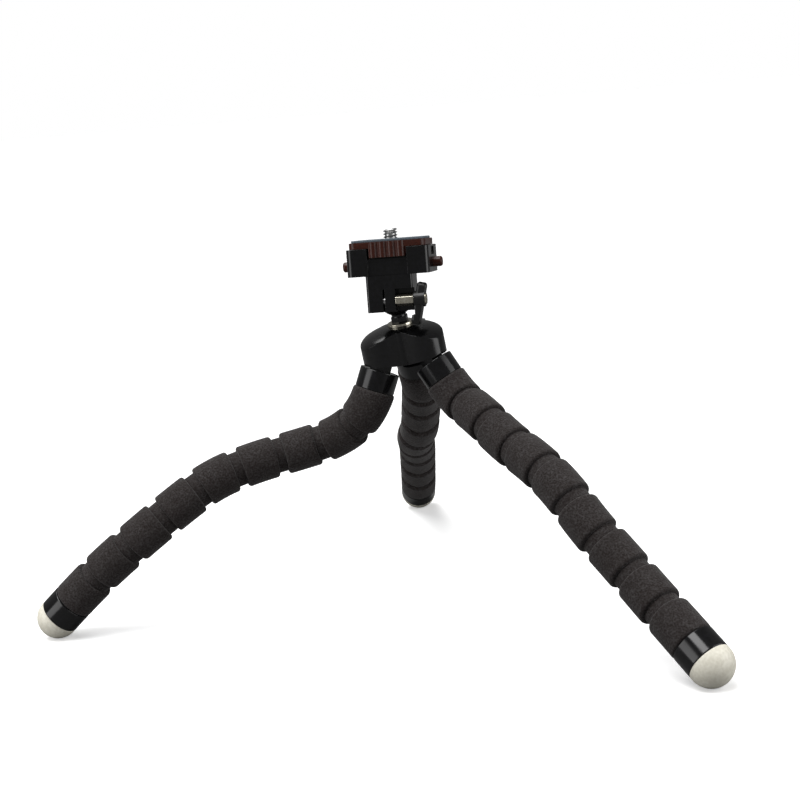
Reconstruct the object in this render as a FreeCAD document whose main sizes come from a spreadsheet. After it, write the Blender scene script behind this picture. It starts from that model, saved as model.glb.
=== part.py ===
import FreeCAD, Part

import math
import os
import re
from types import SimpleNamespace

import Sketcher
from FreeCAD import Placement, Rotation, Vector

# Mini tripod with three flexible foam legs, a ball head and a quick-release clamp.
# World frame: +Z up, Y away from the viewer, the feet on Z = 0 and the origin under the middle of
# the stance. Every driving size is one cell of the sheet, in millimetres or degrees.

SIZES = {
    # foam legs: a row of barrels on a neck, with a bendable wire core inside
    "foam_diameter": 18.5,
    "barrel_length": 15.2,
    "groove_width": 4.2,
    "barrel_rounding": 1.3,
    "neck_diameter": 15.2,
    "neck_clearance": 0.3,
    "core_diameter": 3.0,
    "core_clearance": 0.3,
    "core_grip": 4.0,
    "bell_flare": 3.0,
    # gloss collar at the top of each leg, with the tongue that its hinge pin holds
    "collar_diameter": 17.2,
    "collar_length": 8.8,
    "collar_rounding": 0.4,
    "collar_drop": 8.4,
    "tongue_width": 7.0,
    "tongue_thickness": 7.0,
    "pin_diameter": 2.0,
    "pin_length": 14.0,
    "pin_clearance": 0.05,
    # gloss cap and rubber dome at the lower end of each leg
    "cap_diameter": 18.4,
    "cap_length": 9.5,
    "cap_rounding": 0.5,
    "foot_diameter": 18.4,
    "foot_rim": 1.0,
    "plug_diameter": 11.0,
    "plug_length": 4.0,
    "plug_clearance": 0.1,
    # three-lobed hub shell, measured from the hub's own centre
    "arm_reach": 10.8,
    "arm_width": 18.0,
    "dome_radius": 19.8,
    "dome_base": 2.0,
    "dome_rise": 7.4,
    "skirt_bottom": -8.2,
    "skirt_inner_radius": 5.0,
    "skirt_slope": 14.5,
    "valley_rib_diameter": 5.0,
    "valley_rib_radius": 8.9,
    "hinge_radius": 9.5,
    "hinge_height": -0.9,
    "leg_splay": 30.0,
    "slot_outer": 5.9,
    "slot_inner": 4.7,
    "slot_clearance": 0.3,
    "slot_top": 4.2,
    "washer_seat": 9.0,
    # bolt, washer and ball stud on top of the hub
    "bolt_diameter": 4.0,
    "bolt_head_diameter": 7.0,
    "bolt_head_height": 2.4,
    "bolt_recess": 2.8,
    "bolt_clearance": 0.05,
    "bolt_engagement": 2.4,
    "washer_diameter": 11.4,
    "washer_thickness": 1.3,
    "hex_flats": 6.8,
    "hex_height": 2.6,
    "stud_neck_diameter": 6.4,
    "ball_diameter": 15.4,
    "ball_height": 21.0,
    # ball housing, measured from the ball's centre
    "housing_width": 20.0,
    "housing_front": 13.6,
    "housing_drop": 5.3,
    "housing_height": 15.6,
    "housing_rounding": 1.2,
    "socket_clearance": 0.08,
    "mouth_radius": 7.5,
    "slit_width": 0.9,
    "slit_offset": 2.6,
    "slit_top": 4.4,
    "ear_thickness": 4.4,
    "step_depth": 5.3,
    "step_height": 9.7,
    # clamp screw across the front of the housing, with its wing lever
    "clamp_forward": 11.3,
    "clamp_rise": -0.6,
    "clamp_diameter": 3.0,
    "clamp_bite": 4.0,
    "spacer_flats": 4.6,
    "spacer_length": 7.4,
    "running_clearance": 0.05,
    "face_gap": 0.3,
    "lever_boss_diameter": 6.8,
    "lever_boss_length": 4.6,
    "lever_wing_up": 7.2,
    "lever_wing_down": 11.0,
    "lever_wing_width": 4.5,
    "lever_lean": 13.0,
    "lever_wing_thickness": 4.2,
    "lever_rounding": 1.2,
    "nut_diameter": 4.8,
    "nut_thickness": 1.5,
    "nut_proud": 0.6,
    # quick-release base on top of the housing
    "base_width": 35.5,
    "base_depth": 27.0,
    "base_front": 14.2,
    "base_height": 11.6,
    "base_corner": 2.6,
    "base_floor": 2.3,
    "base_wall": 3.5,
    "pocket_front": 8.3,
    "pocket_back": 9.2,
    "channel_width": 17.0,
    "channel_depth": 1.5,
    "tab_clearance": 0.3,
    "side_pocket_width": 8.0,
    "side_pocket_height": 3.4,
    "side_pocket_depth": 0.8,
    "post_width": 5.0,
    "post_thickness": 1.5,
    "post_inset": 4.7,
    "base_screw_diameter": 2.5,
    "base_screw_head": 4.6,
    "base_screw_head_height": 1.6,
    "base_screw_length": 6.5,
    "base_screw_inset": 4.4,
    "base_screw_recess": 13.4,
    # release buttons with their return springs
    "button_diameter": 4.4,
    "button_proud": 4.0,
    "button_rounding": 1.0,
    "button_travel": 2.0,
    "button_seat": 1.3,
    "button_level": 4.2,
    "stem_diameter": 2.4,
    "flange_diameter": 5.6,
    "flange_thickness": 1.2,
    "spring_diameter": 4.4,
    "spring_bore": 2.8,
    # quick-release plate with its pad and camera screw
    "plate_width": 33.0,
    "plate_depth": 26.0,
    "plate_thickness": 2.7,
    "plate_corner": 3.0,
    "plate_gap": 0.1,
    "tab_width": 15.6,
    "tab_depth": 3.6,
    "tab_height": 4.0,
    "tab_rib_diameter": 3.6,
    "tab_rib_proud": 0.9,
    "tab_rib_count": 4,
    "skirt_thickness": 1.6,
    "skirt_width": 14.0,
    "skirt_depth": 9.2,
    "ring_outer": 15.0,
    "ring_inner": 11.8,
    "ring_height": 2.6,
    "pad_width": 31.0,
    "pad_depth": 23.6,
    "pad_thickness": 1.0,
    "pad_corner": 1.8,
    "screw_diameter": 6.35,
    "screw_proud": 5.5,
    "screw_chamfer": 0.7,
    "screw_neck": 5.0,
    "screw_head_diameter": 11.0,
    "screw_head_height": 2.0,
    "coin_slot_width": 1.4,
    "coin_slot_depth": 1.1,
    "clip_diameter": 9.0,
    "clip_thickness": 0.6,
    "clip_recess": 0.8,
    # stance in the photograph: where the hub sits and how it and the head lean
    "hub_x": 30.23,
    "hub_y": -18.18,
    "hub_z": 116.61,
    "hub_roll": 7.0,
    "hub_tip": 6.0,
    "back_leg_azimuth": 81.0,
    "head_tip": -4.5,
    "head_roll": -0.5,
    "head_yaw": 9.9,
}

# How each leg is bent at rest: degrees per barrel, outwards and sideways, from the hub to the foot.
BENDS = {
    "right": ((43, -12, 9, -8, -14, 3, 2, 5, -5), (-29, 7, 0, -1, 4, 6, -5, -4, 5)),
    "left": ((15, 35, 10, -5, -11, -4, -10, -8, -2), (-38, 8, 9, 4, 10, 0, -9, -3, 2)),
    "back": ((26, -6, -3, 11, 3, -6, -5, -1, 0), (13, 1, 0, 6, -11, 3, 0, 0, 1)),
}
LEG_TURN = {"right": -120.0, "left": 120.0, "back": 0.0}
BARRELS = 9

S = SimpleNamespace(**SIZES)
document = FreeCAD.newDocument("MiniTripod")
sheet = document.addObject("Spreadsheet::Sheet", "Sizes")
cells = dict(SIZES)
for leg, bends in BENDS.items():
    for number in range(1, BARRELS + 1):
        cells[f"{leg}_out_{number}"] = bends[0][number - 1]
        cells[f"{leg}_side_{number}"] = bends[1][number - 1]
for row, (alias, number) in enumerate(cells.items(), 1):
    sheet.set(f"A{row}", alias)
    sheet.set(f"B{row}", str(number))
    sheet.setAlias(f"B{row}", alias)
document.recompute()

NODES = {}
X_AXIS, Y_AXIS, Z_AXIS = Vector(1, 0, 0), Vector(0, 1, 0), Vector(0, 0, 1)
ALONG_X = Rotation(Y_AXIS, 90)


def bound(formula):
    """A formula with every alias pointed at the sheet."""
    return re.sub(r"[a-z][a-z_0-9]*", lambda word: "Sizes." + word[0] if word[0] in cells else word[0], str(formula))


def make(kind, name, at=None, turn=None, **sizes):
    """A Part primitive whose sizes and place are bound to the sheet."""
    thing = document.addObject("Part::" + kind, name)
    if turn is not None:
        thing.Placement = Placement(Vector(), turn)
    for axis, formula in zip("xyz", at or ()):
        thing.setExpression(".Placement.Base." + axis, bound(formula))
    for size, formula in sizes.items():
        thing.setExpression(size, bound(formula))
    return thing


def place(thing, frame):
    """Set a primitive into a frame that the stance or a bend gives."""
    thing.Placement = frame
    return thing


def box(name, low, high, turn=None):
    """A box between two corners, each given as three formulas."""
    sizes = [f"({top}) - ({bottom})" for bottom, top in zip(low, high)]
    return make("Box", name, low, turn, Length=sizes[0], Width=sizes[1], Height=sizes[2])


def rod(name, diameter, length, at=None, turn=None):
    """A round bar that starts at a point and runs along its own axis."""
    return make("Cylinder", name, at, turn, Radius=f"({diameter}) / 2", Height=length)


def fuse(name, *things):
    joined = document.addObject("Part::MultiFuse", name)
    joined.Shapes = list(things)
    return joined


def common(name, *things):
    shared = document.addObject("Part::MultiCommon", name)
    shared.Shapes = list(things)
    return shared


def cut(name, base, *tools):
    rest = document.addObject("Part::Cut", name)
    rest.Base = base
    rest.Tool = tools[0] if len(tools) == 1 else fuse(name + "_tools", *tools)
    return rest


def soften(name, base, radius, wanted, kind="Fillet"):
    """Round or bevel the edges of a thing that a test picks."""
    document.recompute()
    picked = [n for n, edge in enumerate(base.Shape.Edges, 1) if wanted(edge)]
    softened = document.addObject("Part::" + kind, name)
    softened.Base = base
    softened.Edges = [(n, radius, radius) for n in picked]
    return softened


def upright(edge):
    """True for a straight edge along the thing's own Z."""
    ends = edge.Vertexes
    return len(ends) == 2 and abs(ends[0].Z - ends[1].Z) > 0.9 * edge.Length > 0.5


def ring_of(radius):
    """A test for the full circles of one radius."""
    return lambda edge: len(edge.Vertexes) == 1 and abs(edge.Length - 2 * math.pi * radius) < 0.01


def piece(label, thing, frame):
    """Name a finished sub-part and set it in its place."""
    thing.Label = label
    thing.Placement = frame.multiply(thing.Placement)
    NODES[label] = thing
    return thing


def plan_body(name, outline, height, start="0"):
    """A PartDesign body padded from a closed plan of corner points, each given as two formulas."""
    body = document.addObject("PartDesign::Body", name)
    plane = next(part for part in body.Origin.OriginFeatures if part.Role == "XY_Plane")
    sketch = body.newObject("Sketcher::SketchObject", name + "_plan")
    sketch.AttachmentSupport = [(plane, "")]
    sketch.MapMode = "FlatFace"
    sketch.setExpression(".AttachmentOffset.Base.z", bound(start))
    count = len(outline)
    for corner in range(count):
        sketch.addGeometry(Part.LineSegment(Vector(corner, 0, 0), Vector(corner + 1, 1, 0)), False)
    for corner in range(count):
        sketch.addConstraint(Sketcher.Constraint("Coincident", corner, 2, (corner + 1) % count, 1))
    for corner, (along, across) in enumerate(outline):
        for kind, formula in (("DistanceX", along), ("DistanceY", across)):
            index = sketch.addConstraint(Sketcher.Constraint(kind, -1, 1, corner, 1, 1.0))
            sketch.setExpression(f"Constraints[{index}]", bound(formula))
    pad = body.newObject("PartDesign::Pad", name + "_pad")
    pad.Profile = sketch
    pad.setExpression("Length", bound(height))
    return body


# Frames of the stance.
HUB = Placement(Vector(S.hub_x, S.hub_y, S.hub_z), Rotation(X_AXIS, S.hub_tip).multiply(
    Rotation(Y_AXIS, -S.hub_roll)).multiply(Rotation(Z_AXIS, S.back_leg_azimuth)))
HEAD = Placement(HUB.multVec(Vector(0, 0, S.ball_height)),
                 Rotation(X_AXIS, S.head_tip).multiply(Rotation(Y_AXIS, -S.head_roll)).multiply(
                     Rotation(Z_AXIS, -S.head_yaw)))
HERE = Placement()


def hinge_frame(leg, lean):
    """The frame of a leg's hinge pin in the hub: X outwards, Y along the pin, Z up the leg."""
    spin = Placement(Vector(), Rotation(Z_AXIS, LEG_TURN[leg]))
    return spin.multiply(Placement(Vector(S.hinge_radius, 0, S.hinge_height), Rotation(Y_AXIS, -lean)))


def leg_frames(leg):
    """The frames of a straight leg top, of every barrel's upper face, and of the end cap."""
    step = HUB.multiply(hinge_frame(leg, S.leg_splay))
    step = step.multiply(Placement(Vector(0, 0, -S.collar_drop - S.collar_length), Rotation()))
    frames = []
    share = S.barrel_length / (S.barrel_length + S.groove_width)
    for out, side in zip(*BENDS[leg]):
        bend = max(math.hypot(out, side), 1.0)
        heading = Rotation(Z_AXIS, math.degrees(math.atan2(side, out)))
        frames.append((step, heading, bend * share))
        arc = math.radians(bend * share)
        radius = S.barrel_length / arc
        end = Placement(Vector(radius * (1 - math.cos(arc)), 0, -radius * math.sin(arc)),
                        Rotation(Y_AXIS, -math.degrees(arc)))
        knee = Placement(Vector(0, 0, -S.groove_width / 2), Rotation(Y_AXIS, -bend * (1 - share)))
        last = len(frames) == BARRELS
        step = step.multiply(Placement(Vector(), heading)).multiply(end)
        if not last:
            step = step.multiply(knee).multiply(Placement(Vector(0, 0, -S.groove_width / 2), Rotation()))
        step = step.multiply(Placement(Vector(), heading.inverted()))
    return frames, step


# Foam legs.


def bent_bar(name, diameter, radius, bend):
    """A bar bent into an arc that starts downwards at the origin and turns towards X."""
    facing = Rotation(Vector(-1, 0, 0), Vector(0, 0, -1), Vector(0, -1, 0), "XYZ")
    return make("Torus", name, (radius, 0, 0), facing,
                Radius1=radius, Radius2=f"({diameter}) / 2", Angle3=bend)


def foam_barrel(leg, number, frame, heading, arc):
    """One foam barrel: a bent drum with a ball joint neck below and a cup for the neck above."""
    name = f"{leg}_barrel_{number}"
    total = f"max(sqrt({leg}_out_{number}^2 + {leg}_side_{number}^2); 1)"
    bend = f"{total} * barrel_length / (barrel_length + groove_width)"
    radius = f"(barrel_length / ({bend}) * 180 / pi)"
    drum = bent_bar(name + "_drum", "foam_diameter", radius, bend)
    drum = soften(name + "_rims", drum, S.barrel_rounding, ring_of(S.foam_diameter / 2))
    long = S.barrel_length / math.radians(arc)
    low = Placement(Vector(long * (1 - math.cos(math.radians(arc))), 0, -long * math.sin(math.radians(arc))),
                    Rotation(Y_AXIS, -arc))
    tools = [bent_bar(name + "_bore", "core_diameter + 2 * core_clearance", radius, bend)]
    if number < BARRELS:
        down = low.multiply(Placement(Vector(0, 0, -S.groove_width / 2), Rotation()))
        neck = rod(name + "_neck", "neck_diameter", "groove_width / 2 + barrel_rounding")
        place(neck, down)
        ball = place(make("Sphere", name + "_ball", Radius="neck_diameter / 2"), down)
        drum = fuse(name + "_form", drum, neck, ball)
        passage = rod(name + "_passage", "core_diameter + 2 * core_clearance", "groove_width / 2")
        place(passage, down)
        bell = make("Cone", name + "_bell", Radius1="core_diameter / 2 + core_clearance + bell_flare",
                    Radius2="core_diameter / 2 + core_clearance", Height="neck_diameter / 2 + 0.5")
        place(bell, down.multiply(Placement(Vector(0, 0, -S.neck_diameter / 2 - 0.5), Rotation())))
        tools += [passage, bell]
    if number > 1:
        tools.append(make("Sphere", name + "_cup", (0, 0, "groove_width / 2"),
                          Radius="neck_diameter / 2 + neck_clearance"))
    barrel = cut(name + "_piece", drum, *tools)
    return piece(name, barrel, frame.multiply(Placement(Vector(), heading)))


def leg_core(leg, frames, cap):
    """The bendable wire core: arcs through the barrels and a bend of its own in each groove."""
    top = frames[0][0].multVec(Vector(0, 0, S.core_grip))
    edges = [Part.makeLine(top, frames[0][0].Base)]
    for number, (frame, heading, arc) in enumerate(frames):
        turned = frame.multiply(Placement(Vector(), heading))
        radius = S.barrel_length / math.radians(arc)
        marks = [Vector(radius * (1 - math.cos(math.radians(part))), 0, -radius * math.sin(math.radians(part)))
                 for part in (0, arc / 2, arc)]
        edges.append(Part.Arc(*[turned.multVec(mark) for mark in marks]).toShape())
        if number < BARRELS - 1:
            knee = math.radians(arc * S.groove_width / S.barrel_length)
            turn = (S.groove_width / 2) / math.tan(knee / 2)
            end = turned.multiply(Placement(marks[2], Rotation(Y_AXIS, -arc)))
            marks = [Vector(turn * (1 - math.cos(part)), 0, -turn * math.sin(part)) for part in (0, knee / 2, knee)]
            edges.append(Part.Arc(*[end.multVec(mark) for mark in marks]).toShape())
    bottom = cap.multVec(Vector(0, 0, -S.core_grip))
    edges.append(Part.makeLine(edges[-1].valueAt(edges[-1].LastParameter), bottom))
    profile = Part.Wire([Part.makeCircle(S.core_diameter / 2, top, frames[0][0].Rotation.multVec(Z_AXIS))])
    core = document.addObject("Part::Feature", leg + "_core_wire")
    core.Shape = Part.Wire(edges).makePipeShell([profile], True, False)
    return piece(leg + "_core", core, HERE)


def collar(leg):
    """The gloss collar with its hinge tongue, in the frame of the hinge pin."""
    name = leg + "_collar"
    drum = rod(name + "_drum", "collar_diameter", "collar_length", (0, 0, "-collar_drop - collar_length"))
    drum = soften(name + "_rims", drum, S.collar_rounding, ring_of(S.collar_diameter / 2))
    tongue = box(name + "_tongue", ("-tongue_width / 2", "-tongue_thickness / 2", "-collar_drop - 1"),
                 ("tongue_width / 2", "tongue_thickness / 2", "0"))
    knuckle = rod(name + "_knuckle", "tongue_width", "tongue_thickness", (0, "tongue_thickness / 2", 0),
                  Rotation(X_AXIS, 90))
    form = fuse(name + "_form", drum, tongue, knuckle)
    eye = rod(name + "_eye", "pin_diameter + 2 * pin_clearance", "tongue_thickness + 2",
              (0, "tongue_thickness / 2 + 1", 0), Rotation(X_AXIS, 90))
    grip = rod(name + "_grip", "core_diameter", "core_grip + 1", (0, 0, "-collar_drop - collar_length - 1"))
    return piece(name, cut(name + "_piece", form, eye, grip), HUB.multiply(hinge_frame(leg, S.leg_splay)))


def end_cap(leg, frame):
    """The gloss cap under the last barrel, in the frame of the barrel's lower face."""
    name = leg + "_end_cap"
    drum = rod(name + "_drum", "cap_diameter", "cap_length", (0, 0, "-cap_length"))
    drum = soften(name + "_rims", drum, S.cap_rounding, ring_of(S.cap_diameter / 2))
    grip = rod(name + "_grip", "core_diameter", "core_grip + 1", (0, 0, "-core_grip"))
    socket = rod(name + "_socket", "plug_diameter + 2 * plug_clearance", "plug_length + plug_clearance + 1",
                 (0, 0, "-cap_length - 1"))
    return piece(name, cut(name + "_piece", drum, grip, socket), frame)


def foot(leg, frame):
    """The rubber dome foot with the plug that the cap grips."""
    name = leg + "_foot"
    rim = rod(name + "_rim", "foot_diameter", "foot_rim", (0, 0, "-cap_length - foot_rim"))
    dome = make("Sphere", name + "_dome", (0, 0, "-cap_length - foot_rim"),
                Radius="foot_diameter / 2", Angle1="-90", Angle2="0")
    plug = rod(name + "_plug", "plug_diameter", "plug_length + foot_rim", (0, 0, "-cap_length - foot_rim"))
    return piece(name, fuse(name + "_piece", rim, dome, plug), frame)


# Hub.


def hub_shell():
    """The three-lobed shell: three round-ended arms under a dome, with a hinge slot in each arm."""
    tall = ("skirt_bottom - 4", "dome_base + dome_rise + 4")
    prisms = []
    tools = [rod("hub_bolt_bore", "bolt_diameter + 2 * bolt_clearance", "40", (0, 0, "-20")),
             rod("hub_bolt_recess", "bolt_head_diameter + 0.6", "bolt_recess + 5", (0, 0, "skirt_bottom - 5")),
             rod("hub_seat_cut", "2 * dome_radius", "10", (0, 0, "washer_seat"))]
    for leg, turn in LEG_TURN.items():
        spin = Rotation(Z_AXIS, turn)
        arm = make("Box", f"hub_{leg}_arm", Length="arm_reach", Width="arm_width", Height=f"({tall[1]}) - ({tall[0]})")
        place(arm, Placement(spin.multVec(Vector(0, -S.arm_width / 2, S.skirt_bottom - 4)), spin))
        lobe = rod(f"hub_{leg}_lobe", "arm_width", f"({tall[1]}) - ({tall[0]})",
                   (f"arm_reach * cos({turn})", f"arm_reach * sin({turn})", tall[0]))
        valley = turn + 60
        rib = rod(f"hub_{leg}_rib", "valley_rib_diameter", f"({tall[1]}) - ({tall[0]})",
                  (f"valley_rib_radius * cos({valley})", f"valley_rib_radius * sin({valley})", tall[0]))
        prisms += [arm, lobe, rib]
        lean = S.skirt_slope
        hinge = hinge_frame(leg, lean)
        slot = make("Box", f"hub_{leg}_slot", Length="slot_inner + slot_outer",
                    Width="tongue_thickness + 2 * slot_clearance", Height="slot_top + 16")
        place(slot, hinge.multiply(Placement(Vector(-S.slot_inner, -S.tongue_thickness / 2 - S.slot_clearance, -16),
                                             Rotation())))
        seat = place(rod(f"hub_{leg}_pin_seat", "pin_diameter", "pin_length"),
                     hinge.multiply(Placement(Vector(0, S.pin_length / 2, 0), Rotation(X_AXIS, 90))))
        way = make("Box", f"hub_{leg}_pin_way", Length="pin_diameter * 0.85", Width="pin_length", Height="16")
        place(way, hinge.multiply(Placement(Vector(-S.pin_diameter * 0.425, -S.pin_length / 2, -16), Rotation())))
        tools += [slot, seat, way]
    plan = fuse("hub_plan", *prisms)
    dome = make("Ellipsoid", "hub_dome", (0, 0, "dome_base"), Radius1="dome_rise", Radius2="dome_radius",
                Radius3="dome_radius")
    drum = rod("hub_drum", "2 * dome_radius", "dome_base - skirt_bottom + 4", (0, 0, "skirt_bottom - 4"))
    rise = "dome_base + dome_rise + 4 - skirt_bottom"
    skirt = make("Cone", "hub_skirt", (0, 0, "skirt_bottom"), Radius1="skirt_inner_radius",
                 Radius2=f"skirt_inner_radius + ({rise}) / tan(skirt_slope)", Height=rise)
    form = common("hub_form", plan, fuse("hub_round", dome, drum), skirt)
    return piece("hub_shell", cut("hub_piece", form, *tools), HUB)


def leg_pins():
    """The three steel hinge pins."""
    pins = []
    for leg in LEG_TURN:
        pin = rod(f"{leg}_hinge_pin", "pin_diameter", "pin_length")
        place(pin, hinge_frame(leg, 0).multiply(Placement(Vector(0, S.pin_length / 2, 0), Rotation(X_AXIS, 90))))
        pins.append(pin)
    return piece("leg_pins", fuse("pins_piece", *pins), HUB)


def hub_bolt():
    """The bolt that holds the ball stud to the hub, its head in a recess under the shell."""
    head = rod("bolt_head", "bolt_head_diameter", "bolt_head_height",
               (0, 0, "skirt_bottom + bolt_recess - face_gap - bolt_head_height"))
    shank = rod("bolt_shank", "bolt_diameter",
                "washer_seat + washer_thickness + bolt_engagement - skirt_bottom - bolt_recess + face_gap + 1",
                (0, 0, "skirt_bottom + bolt_recess - face_gap - 1"))
    return piece("hub_bolt", fuse("bolt_piece", head, shank), HUB)


def hub_washer():
    """The bright washer between the hub and the stud."""
    disc = rod("washer_disc", "washer_diameter", "washer_thickness - running_clearance",
               (0, 0, "washer_seat + running_clearance"))
    hole = rod("washer_hole", "bolt_diameter + 0.3", "washer_thickness + 2", (0, 0, "washer_seat - 1"))
    return piece("hub_washer", cut("washer_piece", disc, hole), HUB)


def ball_stud():
    """The polished ball on its hexagon, screwed down on the hub bolt."""
    foot_level = "(washer_seat + washer_thickness)"
    hexagon = make("Prism", "stud_hexagon", (0, 0, foot_level), Polygon="6",
                   Circumradius="hex_flats / sqrt(3)", Height="hex_height")
    neck = rod("stud_neck", "stud_neck_diameter", f"ball_height - {foot_level}", (0, 0, foot_level))
    ball = make("Sphere", "stud_ball", (0, 0, "ball_height"), Radius="ball_diameter / 2")
    bore = rod("stud_bore", "bolt_diameter", "bolt_engagement + 1", (0, 0, foot_level + " - 1"))
    return piece("ball_stud", cut("stud_piece", fuse("stud_form", hexagon, neck, ball), bore), HUB)


# Ball housing and its clamp, from the ball's centre with the front towards -Y.

CLAMP_AXIS = ("-clamp_forward", "clamp_rise")


def crosswise(name, diameter, start, end):
    """A round bar along the clamp screw's axis between two places."""
    return rod(name, diameter, f"({end}) - ({start})", (start, *CLAMP_AXIS), ALONG_X)


def ball_housing():
    """The split socket that closes on the ball, with its screw ear at the front."""
    low, high = "-housing_drop", "housing_height - housing_drop"
    drum = rod("housing_drum", "housing_width", "housing_height", (0, 0, low))
    block = box("housing_block", ("-housing_width / 2", "-housing_front", low), ("housing_width / 2", "0", high))
    block = soften("housing_corners", block, S.housing_rounding,
                   lambda edge: upright(edge) and edge.BoundBox.YMax < -S.housing_front + 0.1)
    socket = make("Sphere", "housing_socket", Radius="ball_diameter / 2 + socket_clearance")
    mouth = make("Cone", "housing_mouth", (0, 0, "-housing_drop - 0.5"), Radius1="mouth_radius + 0.6",
                 Radius2="mouth_radius - 1.2", Height="1.6")
    slit = box("housing_slit", ("-slit_offset - slit_width / 2", "-housing_front - 1", "-housing_drop - 1"),
               ("-slit_offset + slit_width / 2", "0", "slit_top"))
    step = box("housing_step", ("-slit_offset + slit_width / 2 + ear_thickness", "-housing_front - 1",
                                "-housing_drop - 1"),
               ("housing_width / 2 + 1", "-housing_front + step_depth", "-housing_drop + step_height"))
    bore = crosswise("housing_bore", "clamp_diameter + 2 * running_clearance", "-housing_width / 2 + 1.1",
                     "housing_width")
    holes = base_screw_pair("housing_holes", "0", "base_screw_diameter", "base_screw_length")
    return piece("ball_housing", cut("housing_piece", fuse("housing_form", drum, block),
                                     socket, mouth, slit, step, bore, *holes), HEAD)


def clamp_screw():
    """The cross screw that draws the housing together."""
    bar = crosswise("clamp_screw_bar", "clamp_diameter", "-housing_width / 2 + 1.4",
                    LEVER_START + " + lever_boss_length - 0.4")
    bar = soften("clamp_screw_ends", bar, 0.3, lambda edge: len(edge.Vertexes) == 1, "Chamfer")
    return piece("clamp_screw", fuse("clamp_screw_piece", bar, crosswise(
        "clamp_screw_shoulder", "clamp_diameter", EAR_FACE, LEVER_START)), HEAD)


EAR_FACE = "(-slit_offset + slit_width / 2 + ear_thickness)"
LEVER_START = "(-slit_offset + slit_width / 2 + ear_thickness + spacer_length + 2 * face_gap)"


def clamp_spacer():
    """The bright hexagon spacer between the ear and the lever."""
    bar = make("Prism", "spacer_bar", (EAR_FACE, *CLAMP_AXIS), ALONG_X, Polygon="6",
               Circumradius="spacer_flats / sqrt(3)", Height="spacer_length + face_gap")
    bore = crosswise("spacer_bore", "clamp_diameter + 2 * running_clearance", EAR_FACE + " - 1",
                     LEVER_START + " + 1")
    return piece("clamp_spacer", cut("spacer_piece", bar, bore), HEAD)


def wing_lever():
    """The lever: one leaning bar with rounded ends through a boss, longer below the screw than above."""
    boss = crosswise("lever_boss", "lever_boss_diameter", LEVER_START, LEVER_START + " + lever_boss_length")
    half = "lever_wing_width / 2"
    wing = plan_body("lever_wing", (
        (f"-{half}", "-lever_wing_down"), (half, "-lever_wing_down"), (half, "lever_wing_up"),
        (f"-{half}", "lever_wing_up")), "lever_wing_thickness", "-lever_wing_thickness / 2")
    wing = soften("lever_ends", wing, S.lever_wing_width / 2 - 0.15, upright)
    wing = soften("lever_edges", wing, S.lever_rounding, lambda edge: not upright(edge))
    middle = -S.slit_offset + S.slit_width / 2 + S.ear_thickness + S.spacer_length + 2 * S.face_gap
    middle += S.lever_boss_length / 2
    stand = Placement(Vector(middle, -S.clamp_forward, S.clamp_rise), Rotation(Y_AXIS, S.lever_lean).multiply(
        Rotation(Vector(0, 1, 0), Vector(0, 0, 1), Vector(1, 0, 0), "XYZ")))
    wing.Placement = stand
    bore = crosswise("lever_bore", "clamp_diameter", LEVER_START + " - 5", LEVER_START + " + lever_boss_length + 5")
    recess = crosswise("lever_recess", "nut_diameter", LEVER_START + " + lever_boss_length + nut_proud - nut_thickness",
                       LEVER_START + " + lever_boss_length + 5")
    face = crosswise("lever_face", "2 * lever_boss_diameter", LEVER_START + " - 5", LEVER_START)
    form = fuse("lever_form", boss, wing)
    return piece("wing_lever", cut("lever_piece", form, bore, recess, face), HEAD)


def clamp_nut():
    """The round nut set into the lever's outer face."""
    disc = crosswise("nut_disc", "nut_diameter", LEVER_START + " + lever_boss_length + nut_proud - nut_thickness",
                     LEVER_START + " + lever_boss_length + nut_proud")
    bore = crosswise("nut_bore", "clamp_diameter", LEVER_START, LEVER_START + " + lever_boss_length + 2")
    return piece("clamp_nut", cut("nut_piece", disc, bore), HEAD)


# Quick-release base, buttons and plate.

DECK = "(housing_height - housing_drop)"
FLOOR = f"({DECK} + base_floor)"
RIM = f"({DECK} + base_height)"
SLAB = f"({RIM} + plate_gap)"
BUTTON = f"({DECK} + button_level)"
CENTRE = "(base_depth / 2 - base_front)"
WALL = "(base_width / 2 - base_wall)"
SIDES = {"left": -1, "right": 1}


def base_screw_pair(name, extra, diameter, length):
    """Two upright holes or screws behind the ball, hanging from the base floor."""
    place = "(housing_width / 2 - base_screw_inset)"
    return [rod(f"{name}_{side}", f"{diameter} + {extra}", length,
                (f"{way} * {place} * 0.8", place, f"{FLOOR} - {length}"))
            for side, way in SIDES.items()]


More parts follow.
